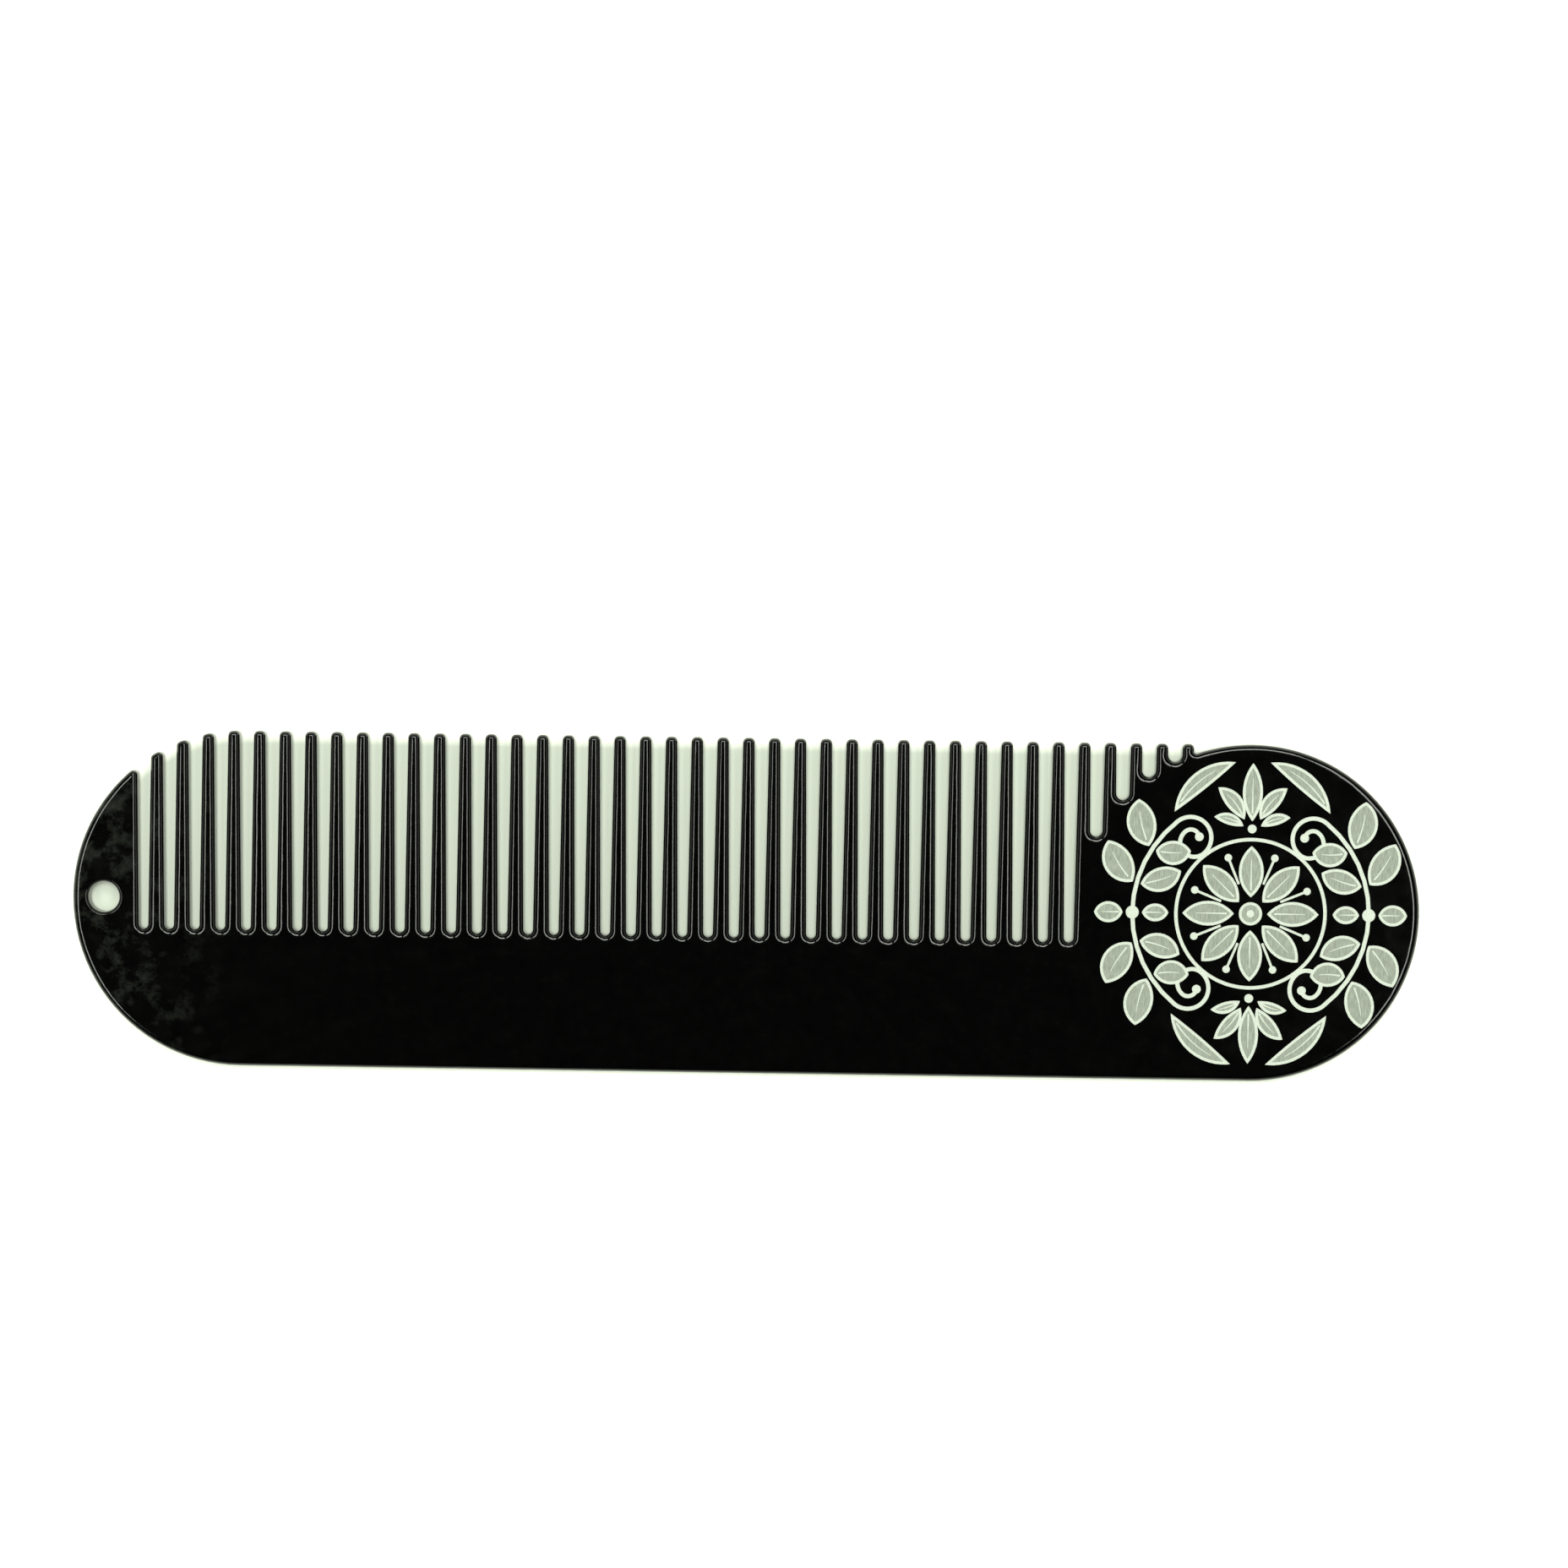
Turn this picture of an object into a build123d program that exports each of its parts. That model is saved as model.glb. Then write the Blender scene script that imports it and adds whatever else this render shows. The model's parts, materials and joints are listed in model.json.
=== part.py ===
from build123d import *
import os
from math import cos, radians, sin, sqrt

# A flat metal beard comb: one stamped plate, rounded along every edge, under a thin powder coat.
#
# The comb lies flat with its teeth toward +Y. The origin is the middle of its underside, +X runs to
# the round end that carries the engraved emblem and +Z is up. Lengths are in millimetres, angles in
# degrees unless radians are named.
#
# The plate is one piece of metal. It is written as four nodes that meet face to face (end guard,
# spine, teeth, head) so that each tooth is a simple convex solid and the gaps stay open.

# Outline
LENGTH = 127.0
WIDTH = 31.75
THICKNESS = 2.0
COAT = 0.1
EDGE_ROUND = 0.4

# Teeth, counted from the hanging hole's end
TOOTH_COUNT = 41
PITCH = 2.428
FIRST_SLOT_X = -56.81
SLOT_ROOT_RADIUS = 0.45
SLOT_BOTTOM_Y = -3.0
SLOT_FLARE = radians(0.7)
TIP_RADIUS = 0.42
NOTCH_RADIUS = 0.25

# Hanging hole, where the coat gathers and is thicker than elsewhere
HOLE_X = -60.55
HOLE_RADIUS = 1.45
HOLE_EDGE_ROUND = 0.15
HOLE_COAT = 0.2

# Emblem, in its own frame at the middle of the head
STEM_RADIUS = 11.1
STEM_HALF_WIDTH = 0.2
STEM_END = 51
VOLUTE_RADII = (1.95, 1.35, 0.8)
VOLUTE_TURNS = (180, 180, 120)
BALL_RADIUS = 0.42
BUD_RADIUS = 0.62
RING_RADIUS = 7.0
RING_HALF_WIDTH = 0.17

# Leaves on the stems: the angle of each pair's foot, and the inner leaf's length
STEM_LEAVES = ((14.5, 4.0), (33, 3.3))
LEAF_GAP = 0.38
OUTER_LEAF_LEAN = 44
OUTER_LEAF_LENGTH = 4.55
OUTER_LEAF_WIDTH = 2.75
OUTER_LEAF_BEND = -0.25
INNER_LEAF_LEAN = 147
INNER_LEAF_WIDTH = 2.3
INNER_LEAF_BEND = 0.2

# The long leaf along the rim, from one (radius, angle) to another
RIM_LEAF_FOOT = (12.0, 52.5)
RIM_LEAF_TIP = (14.35, 83.5)
RIM_LEAF_WIDTH = 1.75
RIM_LEAF_BEND = -0.75

# The two leaves at a bud: the foot's radius, the direction, the length and the width
BUD_LEAVES = ((12.0, 0, 2.7, 2.0), (10.2, 180, 2.5, 1.7))

# The palmette's leaves: the direction, the gap to its foot, the length, the width and the bend
PALMETTE_Y = 8.0
PALMETTE_LEAVES = (
    (90, 0.7, 5.5, 1.9, 0),
    (50, 1.15, 3.9, 1.55, 0.3),
    (130, 1.15, 3.9, 1.55, -0.3),
    (17, 0.85, 2.9, 1.1, 0.25),
    (163, 0.85, 2.9, 1.1, -0.25),
)

# The flower in the middle
CORE_RADIUS = 1.1
PETAL_COUNT = 8
PETAL_FOOT = 1.55
PETAL_LENGTH = 4.85
PETAL_WIDTH = 2.35
FILAMENT_RADIUS = 4.3
FILAMENT_LENGTH = 2.6
FILAMENT_WIDTH = 0.24
ANTHER_RADIUS = 5.7
ANTHER_SIZE = 0.36

END_RADIUS = WIDTH / 2
END_X = LENGTH / 2 - END_RADIUS
LEFT_CENTRE = Vector(-END_X, 0)
HEAD_CENTRE = Vector(END_X, 0)
ROOT_Y = SLOT_BOTTOM_Y + SLOT_ROOT_RADIUS
OVERSHOOT = 1.0


def wall_direction(side):
    """The way a slot's wall rises: side is -1 for its left wall and +1 for its right wall."""
    return Vector(side * sin(SLOT_FLARE), cos(SLOT_FLARE))


def wall_inward(side):
    """From the slot into the metal, square to the same wall."""
    return Vector(side * cos(SLOT_FLARE), -sin(SLOT_FLARE))


def wall_start(slot, side):
    """The lowest point that a slot's wall would have if the slot were full depth."""
    return Vector(FIRST_SLOT_X + slot * PITCH, ROOT_Y) + wall_inward(side) * SLOT_ROOT_RADIUS


def leave_circle(start, direction, centre, radius):
    """Where a line that starts inside a circle leaves it."""
    arm = start - centre
    along = arm.dot(direction)
    return start + direction * (sqrt(along**2 - arm.dot(arm) + radius**2) - along)


def root_centre(slot):
    """The middle of a slot's round bottom. Beside the head, the bottoms just touch its circle.

    The last one is the notch between the last tooth and the head.
    """
    if slot == TOOTH_COUNT:
        start = wall_start(slot, -1) - wall_inward(-1) * NOTCH_RADIUS
        return leave_circle(start, wall_direction(-1), HEAD_CENTRE, END_RADIUS + NOTCH_RADIUS)
    x = FIRST_SLOT_X + slot * PITCH
    across = x - HEAD_CENTRE.X
    flare = sin(SLOT_FLARE)
    reach = END_RADIUS + SLOT_ROOT_RADIUS - ROOT_Y * flare
    if abs(across) > reach:
        return Vector(x, ROOT_Y)
    return Vector(x, (reach * flare + sqrt(reach**2 - (1 - flare**2) * across**2)) / (1 - flare**2))


def root_radius(slot):
    """The radius of a slot's round bottom, which is larger where the slot stops higher up."""
    if slot == TOOTH_COUNT:
        return NOTCH_RADIUS
    return SLOT_ROOT_RADIUS + (root_centre(slot).Y - ROOT_Y) * sin(SLOT_FLARE)


def tip_centre(slot, side):
    """The middle of the rounded tip corner beside a slot, tangent to its wall and to the rim."""
    rise = wall_direction(side)
    start = wall_start(slot, side) + wall_inward(side) * TIP_RADIUS
    rim = END_RADIUS - TIP_RADIUS
    centre = start + rise * ((rim - start.Y) / rise.Y)
    if centre.X < LEFT_CENTRE.X:
        return leave_circle(start, rise, LEFT_CENTRE, rim)
    return centre


def rim_direction(point):
    """The outline's outward direction at the rim near a point."""
    if point.X < LEFT_CENTRE.X:
        return (point - LEFT_CENTRE).normalized()
    return Vector(0, 1)


def arc(centre, radius, start, end):
    """An arc about a centre from one direction to another, the short way round."""
    middle = (start + end).normalized()
    return ThreePointArc(centre + start * radius, centre + middle * radius, centre + end * radius)


def rim_edge(start, end, inset):
    """The rim between two tip corners: a line, or an arc round the left end."""
    if start.X < LEFT_CENTRE.X:
        return arc(LEFT_CENTRE, END_RADIUS - inset, rim_direction(start), rim_direction(end))
    return Line(start, end)


def outline(inset):
    """The comb's face, moved inward by inset all round."""
    tip = TIP_RADIUS - inset
    rim = END_RADIUS - inset
    up, down, left, right = Vector(0, 1), Vector(0, -1), Vector(-1, 0), Vector(1, 0)

    guard_tip = tip_centre(0, -1)
    edges = [
        arc(LEFT_CENTRE, rim, down, left),
        arc(LEFT_CENTRE, rim, left, rim_direction(guard_tip)),
        arc(guard_tip, tip, rim_direction(guard_tip), wall_inward(-1) * -1),
    ]
    for slot in range(TOOTH_COUNT):
        bottom = root_centre(slot)
        root = root_radius(slot) + inset
        before = tip_centre(slot, -1)
        after = tip_centre(slot, 1)
        beyond = tip_centre(slot + 1, -1)
        left_foot = bottom + wall_inward(-1) * root
        right_foot = bottom + wall_inward(1) * root
        edges += [
            Line(before - wall_inward(-1) * tip, left_foot),
            ThreePointArc(left_foot, bottom + down * root, right_foot),
            Line(right_foot, after - wall_inward(1) * tip),
            arc(after, tip, wall_inward(1) * -1, rim_direction(after)),
            rim_edge(after + rim_direction(after) * tip, beyond + rim_direction(beyond) * tip, inset),
            arc(beyond, tip, rim_direction(beyond), wall_inward(-1) * -1),
        ]
    notch = root_centre(TOOTH_COUNT)
    root = NOTCH_RADIUS + inset
    to_head = (HEAD_CENTRE - notch).normalized()
    edges += [
        Line(beyond - wall_inward(-1) * tip, notch + wall_inward(-1) * root),
        arc(notch, root, wall_inward(-1), to_head),
        arc(HEAD_CENTRE, rim, to_head * -1, right),
        arc(HEAD_CENTRE, rim, right, down),
        Line(HEAD_CENTRE + down * rim, LEFT_CENTRE + down * rim),
    ]
    return make_face(edges)


def rounded_plate(inset, hole_radius):
    """The whole comb as a solid, moved inward by inset on every side, with rounded edges."""
    hole = Pos(HOLE_X, 0) * Circle(hole_radius)
    blank = Pos(0, 0, inset) * extrude(outline(inset) - hole, THICKNESS - 2 * inset)
    faces = [blank.faces().sort_by(Axis.Z)[0], blank.faces().sort_by(Axis.Z)[-1]]
    outer = [edge for face in faces for edge in face.outer_wire().edges()]
    blank = fillet(outer, EDGE_ROUND - inset)
    circles = blank.edges().filter_by(GeomType.CIRCLE)
    rims = [edge for edge in circles if is_hole_edge(edge, hole_radius)]
    return fillet(rims, HOLE_EDGE_ROUND - inset / 2)


def is_hole_edge(edge, hole_radius):
    """Whether an edge is one of the two full circles of the hanging hole."""
    same_size = abs(edge.radius - hole_radius) < COAT / 4
    return same_size and abs(edge.arc_center.X - HOLE_X) < COAT / 4


# Emblem shapes


def polar(radius, degrees):
    """A point of the emblem's frame from a radius and an angle above +X."""
    return Vector(radius * cos(radians(degrees)), radius * sin(radians(degrees)))


def leaf(start, degrees, length, width, bend=0):
    """A pointed leaf between two arcs, its middle moved sideways by bend."""
    along = polar(1, degrees)
    across = polar(1, degrees + 90)
    end = start + along * length
    middle = start + along * (length / 2) + across * bend
    half = across * (width / 2)
    return make_face([ThreePointArc(start, middle + half, end), ThreePointArc(end, middle - half, start)])


def ribbon(arcs, half_width):
    """A band of even width along arcs given as (centre, radius, start angle, turn)."""
    outer = [CenterArc(c, r + half_width, a, turn) for c, r, a, turn in arcs]
    inner = [CenterArc(c, r - half_width, a, turn) for c, r, a, turn in arcs]
    caps = [Line(outer[0] @ 0, inner[0] @ 0), Line(outer[-1] @ 1, inner[-1] @ 1)]
    return make_face(outer + inner + caps)


def stem():
    """Half a branch: the curved stem, the scroll at its end and the ball inside the scroll."""
    arcs = [(Vector(0, 0), STEM_RADIUS, 0, STEM_END)]
    angle = STEM_END
    for radius, turn in zip(VOLUTE_RADII, VOLUTE_TURNS):
        centre, last_radius = arcs[-1][:2]
        arcs.append((centre + polar(last_radius - radius, angle), radius, angle, turn))
        angle += turn
    centre, radius = arcs[-1][:2]
    ball = Pos(centre + polar(radius, angle)) * Circle(BALL_RADIUS)
    return ribbon(arcs, STEM_HALF_WIDTH) + ball


def branch():
    """The branch on the head's right: two mirrored stems that leave one bud."""
    half = stem()
    return half + mirror(half, Plane.XZ) + Pos(STEM_RADIUS, 0) * Circle(BUD_RADIUS)


def quarter_leaves():
    """The leaves of half a branch, and the long curved leaf beyond them along the rim."""
    shapes = []
    for angle, inner_length in STEM_LEAVES:
        foot = polar(STEM_RADIUS + LEAF_GAP, angle)
        lean = angle + OUTER_LEAF_LEAN
        shapes.append(leaf(foot, lean, OUTER_LEAF_LENGTH, OUTER_LEAF_WIDTH, OUTER_LEAF_BEND))
        foot = polar(STEM_RADIUS - LEAF_GAP, angle)
        lean = angle + INNER_LEAF_LEAN
        shapes.append(leaf(foot, lean, inner_length, INNER_LEAF_WIDTH, INNER_LEAF_BEND))
    foot = polar(*RIM_LEAF_FOOT)
    reach = polar(*RIM_LEAF_TIP) - foot
    lean = Vector(1, 0).get_signed_angle(reach)
    shapes.append(leaf(foot, lean, reach.length, RIM_LEAF_WIDTH, RIM_LEAF_BEND))
    return shapes


def palmette():
    """Five leaves and a ball that rise from the ring at the top of the emblem."""
    foot = Vector(0, PALMETTE_Y)
    shapes = [Pos(foot) * Circle(BALL_RADIUS)]
    for angle, gap, length, width, bend in PALMETTE_LEAVES:
        shapes.append(leaf(foot + polar(gap, angle), angle, length, width, bend))
    return shapes


def rosette():
    """The flower in the middle: a core, pointed petals, and a stamen between each two petals."""
    shapes = [Circle(CORE_RADIUS)]
    for petal in range(PETAL_COUNT):
        angle = petal * 360 / PETAL_COUNT
        between = angle + 180 / PETAL_COUNT
        shapes.append(leaf(polar(PETAL_FOOT, angle), angle, PETAL_LENGTH, PETAL_WIDTH))
        filament = Rot(0, 0, between) * Rectangle(FILAMENT_LENGTH, FILAMENT_WIDTH)
        anther = Pos(polar(ANTHER_RADIUS, between)) * Circle(ANTHER_SIZE)
        shapes.append(Pos(polar(FILAMENT_RADIUS, between)) * filament + anther)
    return shapes


def emblem_windows():
    """Every opening that the emblem leaves in the coat, as faces in the emblem's frame."""
    ring = Circle(RING_RADIUS + RING_HALF_WIDTH) - Circle(RING_RADIUS - RING_HALF_WIDTH)
    quarter = quarter_leaves()
    right = [branch()] + quarter + [mirror(shape, Plane.XZ) for shape in quarter]
    for radius, angle, length, width in BUD_LEAVES:
        right.append(leaf(Vector(radius, 0), angle, length, width))
    left = [mirror(shape, Plane.YZ) for shape in right]
    top = palmette()
    bottom = [mirror(shape, Plane.XZ) for shape in top]
    return [ring] + rosette() + left + right + top + bottom


def engraving():
    """The emblem's openings as solids through the top of the coat."""
    place = Pos(HEAD_CENTRE.X, 0, THICKNESS - COAT)
    return [place * extrude(face, COAT + OVERSHOOT) for face in emblem_windows()]


# The plate's regions, as prisms taller than the comb


def seam_point(slot, side):
    """Where the seam beside a slot ends, level with the top of the slot's round bottom.

    It lies past the rounded edge, so that the seam crosses that edge square to the wall.
    """
    foot = root_centre(slot) + wall_inward(side) * (root_radius(slot) + COAT)
    return foot + Vector(side * EDGE_ROUND, 0)


def prism(*points):
    """A prism through the whole thickness over a polygon."""
    face = make_face(Polyline(*points, close=True))
    return Pos(0, 0, -OVERSHOOT) * extrude(face, THICKNESS + 2 * OVERSHOOT)


FAR_X = LENGTH / 2 + OVERSHOOT
FAR_Y = END_RADIUS + OVERSHOOT
FULL_DEPTH_SLOTS = sum(root_centre(slot).Y < 0 for slot in range(TOOTH_COUNT))


def tooth_region(tooth):
    """Everything between the middles of the slots beside a tooth, above its root."""
    left = seam_point(tooth, 1)
    right = seam_point(tooth + 1, -1)
    left_x = root_centre(tooth).X
    right_x = root_centre(tooth + 1).X
    root = [(left_x, left.Y), left, right, (right_x, right.Y)]
    return prism(*root, (right_x, FAR_Y), (left_x, FAR_Y))


def guard_region():
    """The end with the hanging hole, up to the first slot's left wall."""
    corner = seam_point(0, -1)
    slot_x = root_centre(0).X
    seam = [(corner.X, -FAR_Y), corner, (slot_x, corner.Y), (slot_x, FAR_Y)]
    return prism(*seam, (-FAR_X, FAR_Y), (-FAR_X, -FAR_Y))


def spine_region():
    """The bar under the full-depth slots."""
    start = seam_point(0, -1)
    end = seam_point(FULL_DEPTH_SLOTS - 1, 1)
    return prism((start.X, -FAR_Y), start, end, (end.X, -FAR_Y))


def head_region():
    """The disc with the emblem and the shallow slot bottoms beside it."""
    start = seam_point(FULL_DEPTH_SLOTS - 1, 1)
    seam = [(start.X, -FAR_Y), start]
    for slot in range(FULL_DEPTH_SLOTS, TOOTH_COUNT):
        seam += [seam_point(slot, -1), seam_point(slot, 1)]
    end = seam_point(TOOTH_COUNT, -1)
    notch_x = root_centre(TOOTH_COUNT).X
    seam += [end, (notch_x, end.Y), (notch_x, FAR_Y)]
    return prism(*seam, (FAR_X, FAR_Y), (FAR_X, -FAR_Y))


def main():
    os.makedirs("parts", exist_ok=True)
    plate = rounded_plate(COAT, HOLE_RADIUS + HOLE_COAT)
    outside = rounded_plate(0, HOLE_RADIUS)
    nodes = {
        "end_guard": plate & guard_region(),
        "spine": plate & spine_region(),
        "head": plate & head_region(),
        "teeth": Compound([(plate & tooth_region(tooth)).solid() for tooth in range(TOOTH_COUNT)]),
        "powder_coat": outside - plate - engraving(),
    }
    for name, shape in nodes.items():
        export_step(shape, f"parts/{name}.step")


main()
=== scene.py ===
import json
from collections import namedtuple
from math import atan2, cos, degrees, pi, radians, sin, sqrt

import bmesh
import bpy
from mathutils import Matrix, Vector, noise
from mathutils.geometry import delaunay_2d_cdt


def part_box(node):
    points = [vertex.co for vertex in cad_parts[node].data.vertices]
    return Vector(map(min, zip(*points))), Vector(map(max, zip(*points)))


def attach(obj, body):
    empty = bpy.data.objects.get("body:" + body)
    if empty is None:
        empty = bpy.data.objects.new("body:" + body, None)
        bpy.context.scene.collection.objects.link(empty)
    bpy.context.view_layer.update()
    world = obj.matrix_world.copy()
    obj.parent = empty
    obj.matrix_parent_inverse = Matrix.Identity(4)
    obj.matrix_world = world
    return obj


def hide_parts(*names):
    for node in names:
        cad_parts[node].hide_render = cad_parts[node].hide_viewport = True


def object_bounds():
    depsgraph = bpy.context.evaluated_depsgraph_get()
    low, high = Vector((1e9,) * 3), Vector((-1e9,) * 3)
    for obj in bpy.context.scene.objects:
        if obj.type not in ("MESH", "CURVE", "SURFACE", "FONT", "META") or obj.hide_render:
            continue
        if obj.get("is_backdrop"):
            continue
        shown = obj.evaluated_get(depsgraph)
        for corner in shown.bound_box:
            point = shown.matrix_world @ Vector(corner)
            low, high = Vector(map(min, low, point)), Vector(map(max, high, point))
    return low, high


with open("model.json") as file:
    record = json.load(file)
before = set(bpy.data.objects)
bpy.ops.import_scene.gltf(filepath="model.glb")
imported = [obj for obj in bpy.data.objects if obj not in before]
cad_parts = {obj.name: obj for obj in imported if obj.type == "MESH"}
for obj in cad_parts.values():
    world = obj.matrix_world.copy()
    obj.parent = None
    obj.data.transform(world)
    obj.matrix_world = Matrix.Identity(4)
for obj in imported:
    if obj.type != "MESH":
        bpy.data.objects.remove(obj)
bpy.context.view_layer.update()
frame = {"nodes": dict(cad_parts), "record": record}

# A beard comb lying flat: gloss black powder coat over a steel plate, with an engraved emblem.
# The outline is worked out in millimetres and turned into metres when a mesh is made.

MM = 0.001

COAT_LOW, COAT_HIGH = (Vector(corner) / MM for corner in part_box("powder_coat"))
LENGTH = COAT_HIGH.x - COAT_LOW.x
WIDTH = COAT_HIGH.y - COAT_LOW.y
THICKNESS = COAT_HIGH.z - COAT_LOW.z
PLATE_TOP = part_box("head")[1][2] / MM
COAT = COAT_HIGH.z - PLATE_TOP
HOLE = next(mount for mount in frame["record"]["mounts"] if mount["name"] == "hanging_hole")

# Outline
TOOTH_COUNT = 41
PITCH = 2.428
FIRST_SLOT_X = -56.81
SLOT_ROOT_RADIUS = 0.45
SLOT_BOTTOM_Y = -3.0
SLOT_FLARE = radians(0.7)
TIP_RADIUS = 0.42
NOTCH_RADIUS = 0.25
END_RADIUS = WIDTH / 2
END_X = LENGTH / 2 - END_RADIUS
LEFT_CENTRE = Vector((-END_X, 0))
HEAD_CENTRE = Vector((END_X, 0))
ROOT_Y = SLOT_BOTTOM_Y + SLOT_ROOT_RADIUS
HOLE_CENTRE = Vector(HOLE["pos_m"][:2]) / MM
HOLE_RADIUS = HOLE["dims"]["r_mm"]

# The coat's rounded edge: its height, and how much wider than high it is on each stretch
EDGE_HEIGHT = 0.5
EDGE_STEPS = 9
INNER_STEPS = 3
TOP_BAND = 0.02
TOOTH_WIDEN = 1.0
ROOT_WIDEN = 1.25
END_WIDEN = 1.2
HEAD_WIDEN = 1.3
SLOT_WIDEN = 1.45
HOLE_EDGE = 0.3

# The paint makes the edge wider and narrower by up to this share, over about this length
UNEVEN = 0.07
UNEVEN_SIZE = 1.7

# Points along each stretch of the outline
WALL_STEPS = 12
ROOT_STEPS = 14
TIP_STEPS = 6
RIM_STEPS = 2
GUARD_STEPS = 24
HEAD_STEPS = 56
BACK_STEPS = 48
HOLE_STEPS = 48

# Emblem, the same shapes as the openings in the coat
STEM_RADIUS = 11.1
STEM_HALF_WIDTH = 0.2
STEM_END = 51
VOLUTE_RADII = (1.95, 1.35, 0.8)
VOLUTE_TURNS = (180, 180, 120)
BALL_RADIUS = 0.42
BUD_RADIUS = 0.62
RING_RADIUS = 7.0
RING_HALF_WIDTH = 0.17
STEM_LEAVES = ((14.5, 4.0), (33, 3.3))
LEAF_GAP = 0.38
OUTER_LEAF_LEAN = 44
OUTER_LEAF_LENGTH = 4.55
OUTER_LEAF_WIDTH = 2.75
OUTER_LEAF_BEND = -0.25
INNER_LEAF_LEAN = 147
INNER_LEAF_WIDTH = 2.3
INNER_LEAF_BEND = 0.2
RIM_LEAF_FOOT = (12.0, 52.5)
RIM_LEAF_TIP = (14.35, 83.5)
RIM_LEAF_WIDTH = 1.75
RIM_LEAF_BEND = -0.75
BUD_LEAVES = ((12.0, 0, 2.7, 2.0), (10.2, 180, 2.5, 1.7))
PALMETTE_Y = 8.0
PALMETTE_LEAVES = (
    (90, 0.7, 5.5, 1.9, 0),
    (50, 1.15, 3.9, 1.55, 0.3),
    (130, 1.15, 3.9, 1.55, -0.3),
    (17, 0.85, 2.9, 1.1, 0.25),
    (163, 0.85, 2.9, 1.1, -0.25),
)
CORE_RADIUS = 1.1
CORE_DOT_RADIUS = 0.35
PETAL_COUNT = 8
PETAL_FOOT = 1.55
PETAL_LENGTH = 4.85
PETAL_WIDTH = 2.35
FILAMENT_RADIUS = 4.3
FILAMENT_LENGTH = 2.6
FILAMENT_WIDTH = 0.24
ANTHER_RADIUS = 5.7
ANTHER_SIZE = 0.36

# How the emblem is drawn: a bright line round each leaf, a vein, and satin metal between them
LINE_WIDTH = 0.27
VEIN_HALF_WIDTH = 0.08
VEIN_START = 0.14
VEIN_END = 0.74
VEIN_TAPER = 0.7
LEAF_STEPS = 16
CIRCLE_STEPS = 24
RING_STEPS = 96
ARC_STEP = 8
ENGRAVED_DEPTH = 0.085

LINE, FILL = 0, 1
BRIGHT_TONES = ((0.421, 0.462, 0.401), (0.585, 0.63, 0.555))
SATIN_TONES = ((0.2, 0.223, 0.186), (0.299, 0.329, 0.276))

# Painted reflection on the coat: a lighter, cloudy sheen painted into its colour at the hanging hole's
# end, in place of a lamp mirrored in the flat top. Where along X it is strongest and where it has gone
PAINTED_SHEEN_START = -61.0
PAINTED_SHEEN_END = -48.0
PAINTED_SHEEN_TONE = (0.018, 0.0195, 0.0165)
DUST_TONE = (0.03, 0.033, 0.028)

# Painted shade: the ground right under the comb is painted a darker, greener grey, which shows through
# the gaps between the teeth where the teeth shade it. The patch ends this far inside the comb's
# outline, and fades over this width
SHADE_PATCH_MARGIN = 0.1
SHADE_PATCH_FADE = 1.2
PAINTED_SHADE_TONE = (0.45, 0.485, 0.425)

# Floor, in metres
FLOOR_REACH = 0.55
FLOOR_DEPTH = 0.004
FLOOR_STEPS = 64

# Camera: its place, the point it looks at, and the width that it sees at that point
CAMERA_PLACE = Vector((10.5, 37.7, 400.0))
CAMERA_TARGET = Vector((3.6, 11.6, THICKNESS))
CAMERA_ROLL = radians(0.82)
CAMERA_FIELD = 147.4
SENSOR = 36.0

# Mesh tolerances: triangulation in millimetres, and welding in metres
TRIANGULATE_WITHIN = 1e-5
WELD_WITHIN = 1e-6
SHARP_ANGLE = radians(35)


# Outline


Rim = namedtuple("Rim", "point inward widen corner")
Corner = namedtuple("Corner", "centre bisector")


def wall_direction(side):
    """The way a slot's wall rises: side is -1 for its left wall and +1 for its right wall."""
    return Vector((side * sin(SLOT_FLARE), cos(SLOT_FLARE)))


def wall_inward(side):
    """From the slot into the metal, square to the same wall."""
    return Vector((side * cos(SLOT_FLARE), -sin(SLOT_FLARE)))


def wall_start(slot, side):
    """The lowest point that a slot's wall would have if the slot were full depth."""
    return Vector((FIRST_SLOT_X + slot * PITCH, ROOT_Y)) + wall_inward(side) * SLOT_ROOT_RADIUS


def leave_circle(start, direction, centre, radius):
    """Where a line that starts inside a circle leaves it."""
    arm = start - centre
    along = arm.dot(direction)
    return start + direction * (sqrt(along**2 - arm.dot(arm) + radius**2) - along)


def root_centre(slot):
    """The middle of a slot's round bottom.

    Beside the head, the bottoms just touch its circle. The last one is the notch beside the head.
    """
    if slot == TOOTH_COUNT:
        start = wall_start(slot, -1) - wall_inward(-1) * NOTCH_RADIUS
        return leave_circle(start, wall_direction(-1), HEAD_CENTRE, END_RADIUS + NOTCH_RADIUS)
    x = FIRST_SLOT_X + slot * PITCH
    across = x - HEAD_CENTRE.x
    flare = sin(SLOT_FLARE)
    reach = END_RADIUS + SLOT_ROOT_RADIUS - ROOT_Y * flare
    if abs(across) > reach:
        return Vector((x, ROOT_Y))
    rise = reach * flare + sqrt(reach**2 - (1 - flare**2) * across**2)
    return Vector((x, rise / (1 - flare**2)))


def root_radius(slot):
    """The radius of a slot's round bottom, which is larger where the slot stops higher up."""
    return SLOT_ROOT_RADIUS + (root_centre(slot).y - ROOT_Y) * sin(SLOT_FLARE)


def tip_centre(slot, side):
    """The middle of the rounded tip corner beside a slot, tangent to its wall and to the rim."""
    rise = wall_direction(side)
    start = wall_start(slot, side) + wall_inward(side) * TIP_RADIUS
    rim = END_RADIUS - TIP_RADIUS
    centre = start + rise * ((rim - start.y) / rise.y)
    if centre.x < LEFT_CENTRE.x:
        return leave_circle(start, rise, LEFT_CENTRE, rim)
    return centre


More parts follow.
